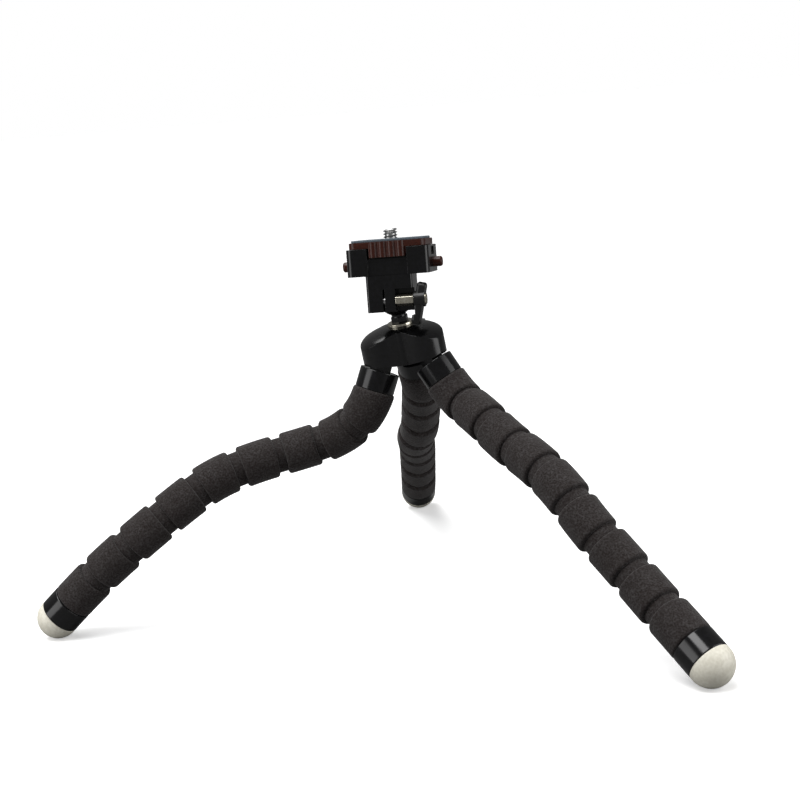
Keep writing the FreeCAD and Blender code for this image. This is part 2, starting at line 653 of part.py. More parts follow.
def quick_release_base():
    """The open box that takes the plate, with a bare channel down its front."""
    front, back = "-base_front", "base_depth - base_front"
    body = box("base_block", ("-base_width / 2", front, DECK), ("base_width / 2", back, RIM))
    body = soften("base_corners", body, S.base_corner, upright)
    tools = [
        box("base_pocket", (f"-{WALL}", "-pocket_front", FLOOR), (WALL, "pocket_back", f"{RIM} + 1")),
        box("base_channel", ("-channel_width / 2", f"{front} - 1", f"{DECK} - 1"),
            ("channel_width / 2", f"{front} + channel_depth", f"{RIM} + 1")),
        box("base_notch", ("-channel_width / 2", f"{front} - 1", f"{SLAB} - tab_height - 0.5"),
            ("channel_width / 2", f"{CENTRE} - plate_depth / 2 + tab_depth + tab_clearance", f"{RIM} + 1")),
    ]
    for side, way in SIDES.items():
        outer = f"{way} * base_width / 2"
        tools.append(box(f"base_{side}_pocket", (f"{outer} - side_pocket_depth", f"{CENTRE} - side_pocket_width / 2",
                                                 f"{RIM} - 0.7 - side_pocket_height"),
                         (f"{outer} + side_pocket_depth", f"{CENTRE} + side_pocket_width / 2", f"{RIM} - 0.7")))
        tools.append(rod(f"base_{side}_bore", "button_diameter + 2 * running_clearance", "base_wall + 2",
                         (f"{way} * ({WALL} - 1)", "0", BUTTON), Rotation(Y_AXIS, 90 * way)))
        middle = f"{way} * ({WALL} - post_inset / 2 + post_thickness / 4)"
        half = "(post_inset / 2 - post_thickness / 4)"
        tools.append(box(f"base_{side}_trough",
                         (f"{middle} - {half}", "-flange_diameter / 2 - face_gap",
                          f"{BUTTON} - flange_diameter / 2 - face_gap"),
                         (f"{middle} + {half}", "flange_diameter / 2 + face_gap", f"{FLOOR} + 1")))
    for part in base_screw_pair("base_hole", "0", "base_screw_diameter", "base_screw_length"):
        tools.append(part)
    for part in base_screw_pair("base_sink", "0", "base_screw_head", "base_screw_head_height"):
        tools.append(part)
    hollow = cut("base_hollow", body, *tools)
    posts = []
    for side, way in SIDES.items():
        outer = f"{way} * ({WALL} - post_inset)"
        low = f"{outer} - post_thickness / 2"
        post = box(f"base_{side}_post", (low, "-post_width / 2", f"{FLOOR} - 0.5"),
                   (f"{outer} + post_thickness / 2", "post_width / 2", f"{BUTTON} + post_width / 2"))
        eye = rod(f"base_{side}_eye", "stem_diameter + 0.3", "post_thickness + 2",
                  (f"{outer} - {way} * (post_thickness / 2 + 1)", "0", BUTTON), Rotation(Y_AXIS, 90 * way))
        posts.append(cut(f"base_{side}_stand", post, eye))
    return piece("quick_release_base", fuse("base_piece", hollow, *posts), HEAD)


def base_screws():
    """The two screws that hold the base to the ball housing."""
    heads = base_screw_pair("screw_head", "0", "base_screw_head", "base_screw_head_height")
    shanks = base_screw_pair("screw_shank", "0", "base_screw_diameter", "base_screw_length")
    return piece("base_screws", fuse("base_screws_piece", *heads, *shanks), HEAD)


def release_button(side, way):
    """A push button: cap in the wall, flange behind it and a stem that guides the spring."""
    name = side + "_release_button"
    facing = Rotation(Y_AXIS, 90 * way)

    def span(part, diameter, start, end):
        return rod(f"{name}_{part}", diameter, f"({end}) - ({start})", (f"{way} * ({start})", "0", BUTTON), facing)

    cap = span("cap", "button_diameter", f"{WALL} - face_gap", "base_width / 2 + button_proud")
    cap = soften(name + "_edge", cap, S.button_rounding, lambda edge: len(edge.Vertexes) == 1
                 and abs(edge.CenterOfMass.x) > S.base_width / 2)
    flange = span("flange", "flange_diameter", f"{WALL} - face_gap - flange_thickness", f"{WALL} - face_gap")
    stem = span("stem", "stem_diameter", f"{WALL} - post_inset", f"{WALL} - face_gap - flange_thickness / 2")
    return piece(name, fuse(name + "_piece", cap, flange, stem), HEAD)


def button_spring(side, way):
    """The return spring's envelope between a button's flange and its post."""
    name = side + "_button_spring"
    facing = Rotation(Y_AXIS, 90 * way)
    start = f"({WALL} - post_inset + post_thickness / 2)"
    end = f"({WALL} - face_gap - flange_thickness)"
    sleeve = rod(name + "_sleeve", "spring_diameter", f"{end} - {start}", (f"{way} * {start}", "0", BUTTON), facing)
    bore = rod(name + "_bore", "spring_bore", f"{end} - {start} + 2", (f"{way} * ({start} - 1)", "0", BUTTON), facing)
    return piece(name, cut(name + "_piece", sleeve, bore), HEAD)


def rounded_plan(name, width, depth, corner, low, height):
    """A slab with rounded corners, centred on the base."""
    slab = plan_body(name, (
        (f"-{width} / 2", f"{CENTRE} - {depth} / 2"), (f"{width} / 2", f"{CENTRE} - {depth} / 2"),
        (f"{width} / 2", f"{CENTRE} + {depth} / 2"), (f"-{width} / 2", f"{CENTRE} + {depth} / 2")), height, low)
    return soften(name + "_corners", slab, corner, upright)


def quick_release_plate():
    """The plate: a slab with a ribbed grip tab in front and a slotted skirt down each side."""
    slab = rounded_plan("plate_slab", "plate_width", "plate_depth", S.plate_corner, SLAB, "plate_thickness")
    front = f"({CENTRE} - plate_depth / 2)"
    parts = [slab, box("plate_tab", ("-tab_width / 2", front, f"{SLAB} - tab_height"),
                       ("tab_width / 2", f"{front} + tab_depth", f"{SLAB} + plate_thickness"))]
    for rib in range(int(S.tab_rib_count)):
        share = (rib + 0.5) / S.tab_rib_count - 0.5
        parts.append(rod(f"plate_rib_{rib + 1}", "tab_rib_diameter", "tab_height + plate_thickness",
                         (f"{share} * tab_width", f"{front} + tab_rib_diameter / 2 - tab_rib_proud",
                          f"{SLAB} - tab_height")))
    ring = rod("plate_ring", "ring_outer", "ring_height + 0.5", (0, CENTRE, f"{SLAB} - ring_height"))
    hollow = rod("plate_ring_bore", "ring_inner", "ring_height + 2", (0, CENTRE, f"{SLAB} - ring_height - 2"))
    parts.append(cut("plate_guard", ring, hollow))
    for side, way in SIDES.items():
        outer = f"({WALL} - 1.5)"
        low = outer if way < 0 else f"({outer} - skirt_thickness)"
        start = f"{way} * {low}" if way > 0 else f"-{outer}"
        skirt = box(f"plate_{side}_skirt", (start, "-skirt_width / 2", f"{SLAB} - skirt_depth"),
                    (f"{start} + skirt_thickness", "skirt_width / 2", f"{SLAB} + 0.5"))
        slot = box(f"plate_{side}_slot", (f"{start} - 1", "-flange_diameter / 2 - face_gap", f"{SLAB} - skirt_depth - 1"),
                   (f"{start} + skirt_thickness + 1", "flange_diameter / 2 + face_gap",
                    f"{BUTTON} + flange_diameter / 2 + face_gap"))
        parts.append(cut(f"plate_{side}_latch_skirt", skirt, slot))
    form = fuse("plate_form", *parts)
    hole = rod("plate_hole", "screw_diameter + 0.35", "plate_thickness + 2", (0, CENTRE, f"{SLAB} - 1"))
    recess = rod("plate_recess", "clip_diameter + 0.6", "clip_recess + 1",
                 (0, CENTRE, f"{SLAB} + plate_thickness - clip_recess"))
    return piece("quick_release_plate", cut("plate_piece", form, hole, recess), HEAD)


PAD = f"({SLAB} + plate_thickness)"


def plate_pad():
    """The rubber pad on top of the plate."""
    pad = rounded_plan("pad_slab", "pad_width", "pad_depth", S.pad_corner, PAD, "pad_thickness")
    hole = rod("pad_hole", "screw_diameter + 0.6", "pad_thickness + 2", (0, CENTRE, f"{PAD} - 1"))
    return piece("plate_pad", cut("pad_piece", pad, hole), HEAD)


def camera_screw():
    """The camera screw: a coin-slotted head under the slab, a neck in it and the shank above."""
    head_top = f"({SLAB} - running_clearance)"
    head = rod("screw_head", "screw_head_diameter", "screw_head_height", (0, CENTRE, f"{head_top} - screw_head_height"))
    slot = box("screw_coin_slot", ("-screw_head_diameter", f"{CENTRE} - coin_slot_width / 2",
                                   f"{head_top} - screw_head_height - 1"),
               ("screw_head_diameter", f"{CENTRE} + coin_slot_width / 2",
                f"{head_top} - screw_head_height + coin_slot_depth"))
    neck = rod("screw_neck", "screw_neck", "plate_thickness + pad_thickness + running_clearance + 0.5",
               (0, CENTRE, f"{head_top} - 0.5"))
    shank = rod("screw_shank", "screw_diameter", "screw_proud", (0, CENTRE, f"{PAD} + pad_thickness"))
    shank = soften("screw_tip", shank, S.screw_chamfer, lambda edge: len(edge.Vertexes) == 1
                   and edge.CenterOfMass.z > S.housing_height - S.housing_drop + S.base_height + 6, "Chamfer")
    return piece("camera_screw", fuse("screw_piece", cut("screw_slotted_head", head, slot), neck, shank), HEAD)


def screw_clip():
    """The spring clip that keeps the camera screw in the plate."""
    low = f"({PAD} - clip_recess / 2 - clip_thickness / 2)"
    disc = rod("clip_disc", "clip_diameter", "clip_thickness", (0, CENTRE, low))
    hole = rod("clip_hole", "screw_neck", "clip_thickness + 2", (0, CENTRE, f"{low} - 1"))
    return piece("screw_clip", cut("clip_piece", disc, hole), HEAD)


for leg in LEG_TURN:
    frames, cap_frame = leg_frames(leg)
    collar(leg)
    for number, (frame, heading, arc) in enumerate(frames, 1):
        foam_barrel(leg, number, frame, heading, arc)
    leg_core(leg, frames, cap_frame)
    end_cap(leg, cap_frame)
    foot(leg, cap_frame)
hub_shell()
leg_pins()
hub_bolt()
hub_washer()
ball_stud()
ball_housing()
clamp_screw()
clamp_spacer()
wing_lever()
clamp_nut()
quick_release_base()
base_screws()
for side, way in SIDES.items():
    release_button(side, way)
    button_spring(side, way)
quick_release_plate()
plate_pad()
camera_screw()
screw_clip()
document.recompute()

faults = [thing.Name for thing in document.Objects if {"Invalid", "Error"} & set(thing.State)]
for label, thing in NODES.items():
    if thing.Shape.isNull() or not thing.Shape.isValid() or thing.Shape.Volume < 0.1:
        faults.append(label)
    if len(thing.Shape.Solids) != {"leg_pins": 3, "base_screws": 2}.get(label, 1):
        faults.append(f"{label} has {len(thing.Shape.Solids)} solids")
if faults:
    raise ValueError("not sound: " + ", ".join(faults))

os.makedirs("parts", exist_ok=True)
for label, thing in NODES.items():
    thing.Shape.exportStep(f"parts/{label}.step")
extent = Part.makeCompound([thing.Shape for thing in NODES.values()]).BoundBox
print(f"{len(NODES)} sub-parts, extent {extent.XMin:.2f} {extent.XMax:.2f} {extent.YMin:.2f} {extent.YMax:.2f} "
      f"{extent.ZMin:.2f} {extent.ZMax:.2f}")
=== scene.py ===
"""Looks of a mini tripod with flexible foam legs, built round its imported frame."""

from __future__ import annotations

import logging
import math
from dataclasses import dataclass, field
from enum import Enum
from typing import Callable

import bpy
from mathutils import Matrix, Vector

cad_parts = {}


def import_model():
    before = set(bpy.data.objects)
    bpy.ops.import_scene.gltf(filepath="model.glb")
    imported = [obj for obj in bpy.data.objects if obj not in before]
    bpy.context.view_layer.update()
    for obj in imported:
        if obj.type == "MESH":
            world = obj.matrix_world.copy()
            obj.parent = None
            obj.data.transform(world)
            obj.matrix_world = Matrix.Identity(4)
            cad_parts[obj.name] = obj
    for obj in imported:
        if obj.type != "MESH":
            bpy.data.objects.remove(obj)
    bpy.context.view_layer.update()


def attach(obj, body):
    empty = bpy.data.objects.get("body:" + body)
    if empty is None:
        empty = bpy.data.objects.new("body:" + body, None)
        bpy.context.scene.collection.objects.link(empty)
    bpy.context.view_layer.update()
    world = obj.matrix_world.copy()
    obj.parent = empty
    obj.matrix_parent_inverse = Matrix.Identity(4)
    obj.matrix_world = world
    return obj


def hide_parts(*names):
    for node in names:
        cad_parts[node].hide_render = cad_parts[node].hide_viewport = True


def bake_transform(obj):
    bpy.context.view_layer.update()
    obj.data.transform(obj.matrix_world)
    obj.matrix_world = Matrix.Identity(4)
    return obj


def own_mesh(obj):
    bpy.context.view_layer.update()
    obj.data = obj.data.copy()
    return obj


log = logging.getLogger("mini_tripod")

Colour = tuple[float, float, float]
Place = tuple[float, float, float]
FaceTest = Callable[[bpy.types.MeshPolygon], bool]

MM = 0.001
SMOOTH_ANGLE = math.radians(35)
MERGE_REACH = 0.002 * MM
FLAT_ANGLE = math.radians(0.5)
NEAR_ORIGIN = 0.1
MOST_SIDE_CORNERS = 8
RIM_SEGMENTS = 5
HELIX_STEPS = 32


class Leg(Enum):
    """The three legs, each with its turn round the hub from the rear leg."""

    RIGHT = ("right", -120.0)
    LEFT = ("left", 120.0)
    BACK = ("back", 0.0)

    @property
    def label(self) -> str:
        """The leg's name in the frame."""
        return self.value[0]

    @property
    def turn(self) -> float:
        """The leg's turn round the hub, in degrees."""
        return self.value[1]


@dataclass(frozen=True)
class BarrelPlace:
    """A barrel's upper frame, its lower frame, its bend and the bend of the groove under it."""

    top: Matrix
    end: Matrix
    arc: float
    knee: float


@dataclass(frozen=True)
class Stance:
    """Where the hub stands and how the legs are bent at rest, in millimetres and degrees."""

    hub: Place = (30.23, -18.18, 116.61)
    hub_roll: float = 7.0
    hub_tip: float = 6.0
    back_leg_azimuth: float = 81.0
    ball_height: float = 21.0
    head_tip: float = -4.5
    head_roll: float = -0.5
    head_yaw: float = 9.9
    hinge_radius: float = 9.5
    hinge_height: float = -0.9
    leg_splay: float = 30.0
    collar_drop: float = 8.4
    collar_length: float = 8.8
    barrel_length: float = 15.2
    groove_width: float = 4.2
    least_bend: float = 1.0
    bends: dict[Leg, tuple[tuple[int, ...], tuple[int, ...]]] = field(default_factory=lambda: {
        Leg.RIGHT: ((43, -12, 9, -8, -14, 3, 2, 5, -5), (-29, 7, 0, -1, 4, 6, -5, -4, 5)),
        Leg.LEFT: ((15, 35, 10, -5, -11, -4, -10, -8, -2), (-38, 8, 9, 4, 10, 0, -9, -3, 2)),
        Leg.BACK: ((26, -6, -3, 11, 3, -6, -5, -1, 0), (13, 1, 0, 6, -11, 3, 0, 0, 1)),
    })

    def hub_frame(self) -> Matrix:
        """The hub's own frame, with its rear arm along X, in millimetres."""
        return (Matrix.Translation(self.hub) @ turned("X", self.hub_tip) @ turned("Y", -self.hub_roll)
                @ turned("Z", self.back_leg_azimuth))

    def head_frame(self) -> Matrix:
        """The head's frame: the ball's centre, with the front towards -Y."""
        ball = self.hub_frame() @ Vector((0, 0, self.ball_height))
        return (Matrix.Translation(ball) @ turned("X", self.head_tip) @ turned("Y", -self.head_roll)
                @ turned("Z", -self.head_yaw))

    def collar_frame(self, leg: Leg) -> Matrix:
        """The frame of a leg's hinge: X outwards, Y along the pin, Z up the leg."""
        hinge = Matrix.Translation((self.hinge_radius, 0, self.hinge_height))
        return self.hub_frame() @ turned("Z", leg.turn) @ hinge @ turned("Y", -self.leg_splay)

    def barrels(self, leg: Leg) -> list[BarrelPlace]:
        """Every barrel's place down a leg.

        Args:
            leg: The leg to follow.

        Returns:
            The barrels' places from the hub to the foot.
        """
        step = self.collar_frame(leg) @ Matrix.Translation((0, 0, -self.collar_drop - self.collar_length))
        share = self.barrel_length / (self.barrel_length + self.groove_width)
        half = Matrix.Translation((0, 0, -self.groove_width / 2))
        places = []
        for out, side in zip(*self.bends[leg]):
            bend = max(math.hypot(out, side), self.least_bend)
            heading = turned("Z", math.degrees(math.atan2(side, out)))
            arc = bend * share
            knee = bend - arc
            top = step @ heading
            end = top @ arc_end(self.barrel_length, arc)
            places.append(BarrelPlace(top, end, arc, knee))
            step = end @ half @ turned("Y", -knee) @ half @ heading.inverted()
        return places


def turned(axis: str, degrees: float) -> Matrix:
    """A turn about one axis, as a 4 by 4 matrix."""
    return Matrix.Rotation(math.radians(degrees), 4, axis)


def arc_end(length: float, bend: float) -> Matrix:
    """The frame at the end of an arc that starts downwards and turns towards X.

    Args:
        length: The arc's length.
        bend: The arc's turn in degrees.

    Returns:
        The frame at the arc's far end.
    """
    angle = math.radians(bend)
    radius = length / angle
    place = Matrix.Translation((radius * (1 - math.cos(angle)), 0, -radius * math.sin(angle)))
    return place @ turned("Y", -bend)


# Shader node groups.


def new_group(name: str, inputs: dict[str, float], outputs: dict[str, str]) -> bpy.types.NodeTree:
    """Start a shader node group.

    Args:
        name: The group's name.
        inputs: Every input's name and value.
        outputs: Every output's name and socket type.

    Returns:
        The group with its input and output nodes.
    """
    group = bpy.data.node_groups.new(name, "ShaderNodeTree")
    for label, value in inputs.items():
        socket = group.interface.new_socket(label, in_out="INPUT", socket_type="NodeSocketFloat")
        socket.default_value = value
    for label, kind in outputs.items():
        group.interface.new_socket(label, in_out="OUTPUT", socket_type=kind)
    group.nodes.new("NodeGroupInput").name = "in"
    group.nodes.new("NodeGroupOutput").name = "out"
    return group


def contrast_node(group: bpy.types.NodeTree, low: float, high: float) -> bpy.types.Node:
    """Add a node that spreads the middle of a pattern over its whole range.

    Args:
        group: The group that gets the node.
        low: The pattern's value that becomes the lowest.
        high: The pattern's value that becomes the highest.

    Returns:
        The new node.
    """
    ramp = group.nodes.new("ShaderNodeMapRange")
    ramp.inputs["From Min"].default_value = low
    ramp.inputs["From Max"].default_value = high
    return ramp


def grain_group() -> bpy.types.NodeTree:
    """Build the pebbled grain on Object coordinates.

    Returns:
        The group, which gives a height and a mask of its hollows.
    """
    group = new_group("Grain", {"Scale": 900.0, "Detail": 3.0, "Pebble": 0.5},
                      {"Height": "NodeSocketFloat", "Hollows": "NodeSocketFloat"})
    nodes, links = group.nodes, group.links
    place = nodes.new("ShaderNodeTexCoord")
    noise = nodes.new("ShaderNodeTexNoise")
    pebbles = nodes.new("ShaderNodeTexVoronoi")
    pebbles.feature = "SMOOTH_F1"
    mix = nodes.new("ShaderNodeMix")
    ramp = contrast_node(group, low=0.35, high=0.65)
    for texture in (noise, pebbles):
        links.new(place.outputs["Object"], texture.inputs["Vector"])
        links.new(nodes["in"].outputs["Scale"], texture.inputs["Scale"])
    links.new(nodes["in"].outputs["Detail"], noise.inputs["Detail"])
    links.new(nodes["in"].outputs["Pebble"], mix.inputs["Factor"])
    links.new(noise.outputs["Fac"], mix.inputs["A"])
    links.new(pebbles.outputs["Distance"], mix.inputs["B"])
    links.new(mix.outputs["Result"], nodes["out"].inputs["Height"])
    links.new(mix.outputs["Result"], ramp.inputs["Value"])
    links.new(ramp.outputs["Result"], nodes["out"].inputs["Hollows"])
    return group


def mottle_group() -> bpy.types.NodeTree:
    """Build the slow mottling on Object coordinates.

    Returns:
        The group, which gives a value from low to high.
    """
    group = new_group("Mottle", {"Scale": 60.0, "Low": 0.0, "High": 1.0}, {"Value": "NodeSocketFloat"})
    nodes, links = group.nodes, group.links
    place = nodes.new("ShaderNodeTexCoord")
    noise = nodes.new("ShaderNodeTexNoise")
    noise.inputs["Detail"].default_value = 4.0
    ramp = contrast_node(group, low=0.3, high=0.7)
    links.new(place.outputs["Object"], noise.inputs["Vector"])
    links.new(nodes["in"].outputs["Scale"], noise.inputs["Scale"])
    links.new(noise.outputs["Fac"], ramp.inputs["Value"])
    links.new(nodes["in"].outputs["Low"], ramp.inputs["To Min"])
    links.new(nodes["in"].outputs["High"], ramp.inputs["To Max"])
    links.new(ramp.outputs["Result"], nodes["out"].inputs["Value"])
    return group


@dataclass(frozen=True)
class Finish:
    """One surface finish, from its colours to the scale of its grain."""

    name: str
    slot: str
    dark: Colour
    light: Colour
    roughness: tuple[float, float]
    grain: float
    bump: float
    pebble: float = 0.4
    mottle: float = 60.0
    mottle_floor: float = 0.6
    rough_mottle: float = 1.7
    metallic: float = 0.0
    specular: float = 0.35
    sheen: float = 0.0
    sheen_roughness: float = 0.45

    def build(self, grain: bpy.types.NodeTree, mottle: bpy.types.NodeTree) -> bpy.types.Material:
        """Make the material.

        Args:
            grain: The shared grain group.
            mottle: The shared mottling group.

        Returns:
            The new material.
        """
        material = bpy.data.materials.new(self.name)
        material.use_nodes = True
        nodes, links = material.node_tree.nodes, material.node_tree.links
        shader = nodes["Principled BSDF"]
        shader.inputs["Metallic"].default_value = self.metallic
        shader.inputs["Specular IOR Level"].default_value = self.specular
        shader.inputs["Sheen Weight"].default_value = self.sheen
        shader.inputs["Sheen Roughness"].default_value = self.sheen_roughness
        fine = nodes.new("ShaderNodeGroup")
        fine.node_tree = grain
        fine.inputs["Scale"].default_value = self.grain
        fine.inputs["Pebble"].default_value = self.pebble
        slow = nodes.new("ShaderNodeGroup")
        slow.node_tree = mottle
        slow.inputs["Scale"].default_value = self.mottle
        slow.inputs["Low"].default_value = self.mottle_floor
        rough = nodes.new("ShaderNodeGroup")
        rough.node_tree = mottle
        rough.inputs["Scale"].default_value = self.mottle * self.rough_mottle
        rough.inputs["Low"].default_value = self.roughness[0]
        rough.inputs["High"].default_value = self.roughness[1]
        # The dark tone goes where the grain has hollows and the mottle is low; for the foam, the brown of
        # that dark tone is painted shade.
        shade = nodes.new("ShaderNodeMath")
        shade.operation = "MULTIPLY"
        links.new(slow.outputs["Value"], shade.inputs[0])
        links.new(fine.outputs["Hollows"], shade.inputs[1])
        colour = nodes.new("ShaderNodeMix")
        colour.data_type = "RGBA"
        colour.inputs["A"].default_value = (*self.dark, 1)
        colour.inputs["B"].default_value = (*self.light, 1)
        links.new(shade.outputs["Value"], colour.inputs["Factor"])
        links.new(colour.outputs["Result"], shader.inputs["Base Color"])
        links.new(rough.outputs["Value"], shader.inputs["Roughness"])
        relief = nodes.new("ShaderNodeBump")
        relief.inputs["Strength"].default_value = 1.0
        relief.inputs["Distance"].default_value = self.bump * MM
        links.new(fine.outputs["Height"], relief.inputs["Height"])
        links.new(relief.outputs["Normal"], shader.inputs["Normal"])
        return material


# The foam's dark tone is the pores' own dark, and its brown tint is painted shade; it goes into the grain's
# hollows and the mottle's lows.
FOAM = Finish("foam", "leg_foam", dark=(0.011, 0.007, 0.006), light=(0.045, 0.041, 0.041),
              roughness=(0.8, 0.95), grain=1500, bump=0.35, pebble=0.5, mottle=150, specular=0.25, sheen=0.12)
GLOSS_BLACK = Finish("gloss_black", "gloss_black", dark=(0.003, 0.003, 0.003), light=(0.006, 0.006, 0.007),
                     roughness=(0.12, 0.2), grain=700, bump=0.002)
SATIN_BLACK = Finish("satin_black", "satin_black", dark=(0.004, 0.004, 0.004), light=(0.01, 0.01, 0.01),
                     roughness=(0.28, 0.4), grain=2600, bump=0.012)
FOOT_RUBBER = Finish("foot_rubber", "foot_rubber", dark=(0.68, 0.65, 0.55), light=(0.8, 0.775, 0.68),
                     roughness=(0.35, 0.5), grain=900, bump=0.005, mottle=40, mottle_floor=0.75)
MAROON = Finish("maroon", "maroon", dark=(0.028, 0.006, 0.003), light=(0.06, 0.014, 0.008),
                roughness=(0.25, 0.36), grain=1800, bump=0.008, specular=0.25)
PAD_RUBBER = Finish("pad_rubber", "pad_rubber", dark=(0.09, 0.11, 0.13), light=(0.14, 0.17, 0.2),
                    roughness=(0.6, 0.8), grain=2200, bump=0.03)
BRIGHT_METAL = Finish("bright_metal", "bright_metal", dark=(0.5, 0.47, 0.38), light=(0.66, 0.63, 0.54),
                      roughness=(0.2, 0.32), grain=1500, bump=0.004, metallic=1.0)
STEEL = Finish("steel", "steel", dark=(0.4, 0.4, 0.4), light=(0.55, 0.55, 0.54),
               roughness=(0.25, 0.4), grain=2400, bump=0.006, metallic=1.0)
STEEL_WIRE = Finish("steel_wire", "steel_wire", dark=(0.3, 0.3, 0.3), light=(0.45, 0.45, 0.44),
                    roughness=(0.3, 0.45), grain=2400, bump=0.006, metallic=1.0)


# Modelling steps that several pieces share.


def only(thing: bpy.types.Object) -> None:
    """Select one object alone and make it active.

    Args:
        thing: The object.
    """
    bpy.ops.object.select_all(action="DESELECT")
    thing.select_set(True)
    bpy.context.view_layer.objects.active = thing


def edit_all(thing: bpy.types.Object) -> None:
    """Open one object in edit mode with all of it selected.

    Args:
        thing: The object.
    """
    only(thing)
    bpy.ops.object.mode_set(mode="EDIT")
    bpy.ops.mesh.select_all(action="SELECT")


def fix_place(thing: bpy.types.Object) -> None:
    """Put an object's place, turn and scale into its mesh.

    Args:
        thing: The object.
    """
    bpy.context.view_layer.update()
    only(thing)
    bpy.ops.object.transform_apply(location=True, rotation=True, scale=True)


def apply_modifier(thing: bpy.types.Object, kind: str, **settings: object) -> None:
    """Add a modifier and apply it.

    Args:
        thing: The object.
        kind: The modifier's type.
        **settings: The modifier's settings.
    """
    only(thing)
    modifier = thing.modifiers.new(kind.lower(), kind)
    for name, value in settings.items():
        setattr(modifier, name, value)
    bpy.ops.object.modifier_apply(modifier=modifier.name)


def ease(thing: bpy.types.Object, width: float, segments: int = 2, angle: float = 30.0) -> None:
    """Ease an object's sharp edges.

    Args:
        thing: The object.
        width: The bevel's width, in the mesh's own unit.
        segments: How many strips the bevel has.
        angle: The least angle of an edge that is eased, in degrees.
    """
    apply_modifier(thing, "BEVEL", width=width, segments=segments, limit_method="ANGLE",
                   angle_limit=math.radians(angle), use_clamp_overlap=True)


def choose(thing: bpy.types.Object, wanted: FaceTest) -> None:
    """Select the faces that a test picks, and stay in edit mode with face select.

    Args:
        thing: The active object.
        wanted: The test.
    """
    bpy.ops.object.mode_set(mode="EDIT")
    bpy.ops.mesh.select_mode(type="FACE")
    bpy.ops.mesh.select_all(action="DESELECT")
    bpy.ops.object.mode_set(mode="OBJECT")
    for face in thing.data.polygons:
        face.select = wanted(face)
    bpy.ops.object.mode_set(mode="EDIT")


def round_end(bar: bpy.types.Object, radius: float, wanted: FaceTest) -> None:
    """Round the rim of a bar's end cap, which is the many-sided face that a test picks.

    Args:
        bar: The active bar.
        radius: The rounding's radius.
        wanted: The test.
    """
    choose(bar, lambda face: len(face.vertices) > MOST_SIDE_CORNERS and wanted(face))
    bpy.ops.mesh.select_mode(type="EDGE")
    bpy.ops.mesh.region_to_loop()
    bpy.ops.mesh.bevel(offset=radius, segments=RIM_SEGMENTS, affect="EDGES")
    bpy.ops.object.mode_set(mode="OBJECT")


def helix(corners: int, radius: float, orbit: float, pitch: float, turns: int) -> bpy.types.Object:
    """A closed ring outline swept up a helix from the origin.

    Args:
        corners: How many corners the outline has, one of them outwards.
        radius: The outline's radius.
        orbit: How far the outline's centre is from the helix's axis.
        pitch: The rise of one turn.
        turns: How many turns it makes.

    Returns:
        The helix, along Z.
    """
    bpy.ops.object.select_all(action="DESELECT")
    bpy.ops.mesh.primitive_circle_add(vertices=corners, radius=radius, fill_type="NOTHING",
                                      location=(orbit, 0, 0), rotation=(math.pi / 2, math.pi / 2, 0))
    coil = bpy.context.object
    fix_place(coil)
    apply_modifier(coil, "SCREW", axis="Z", screw_offset=pitch, iterations=turns, steps=HELIX_STEPS,
                   render_steps=HELIX_STEPS, use_merge_vertices=False)
    edit_all(coil)
    bpy.ops.mesh.fill_holes(sides=0)
    bpy.ops.object.mode_set(mode="OBJECT")
    return coil


def bent_bar(radius: float, length: float, bend: float, sides: int = 56, steps: int = 8,
             lead: float = 0.0, tail: float = 0.0) -> bpy.types.Object:
    """A closed round bar that starts downwards at the origin and turns towards X.

    Args:
        radius: The bar's radius.
        length: The length of its bent stretch.
        bend: The turn of that stretch in degrees.
        sides: How many sides the bar has.
        steps: How many lengths the bend is made of.
        lead: A straight length above the bend.
        tail: A straight length below it.

    Returns:
        The bar, in millimetres.
    """
    bpy.ops.object.select_all(action="DESELECT")
    bpy.ops.mesh.primitive_circle_add(vertices=sides, radius=radius, fill_type="NGON", location=(0, 0, lead))
    bar = bpy.context.object
    fix_place(bar)
    bpy.ops.object.mode_set(mode="EDIT")
    bpy.ops.mesh.select_mode(type="FACE")
    bpy.ops.mesh.select_all(action="SELECT")
    if lead:
        bpy.ops.mesh.extrude_region_move(TRANSFORM_OT_translate={"value": (0, 0, -lead)})
    arc = math.radians(bend)
    bpy.ops.mesh.spin(steps=steps, angle=arc, center=(length / arc, 0, 0), axis=(0, 1, 0))
    if tail:
        down = Vector((math.sin(arc), 0, -math.cos(arc))) * tail
        bpy.ops.mesh.extrude_region_move(TRANSFORM_OT_translate={"value": down})
    bpy.ops.object.mode_set(mode="OBJECT")
    return bar


def copy_of(node: str) -> bpy.types.Object:
    """Make a clean merged copy of one of the frame's nodes.

    Args:
        node: The node's name.

    Returns:
        The copy, selected alone.
    """
    source = bpy.data.objects[node]
    copy = bpy.data.objects.new(node + "_shown", source.data.copy())
    bpy.context.scene.collection.objects.link(copy)
    edit_all(copy)
    bpy.ops.mesh.remove_doubles(threshold=MERGE_REACH)
    bpy.ops.mesh.customdata_custom_splitnormals_clear()
    bpy.ops.mesh.dissolve_limited(angle_limit=FLAT_ANGLE)
    bpy.ops.object.mode_set(mode="OBJECT")
    return copy


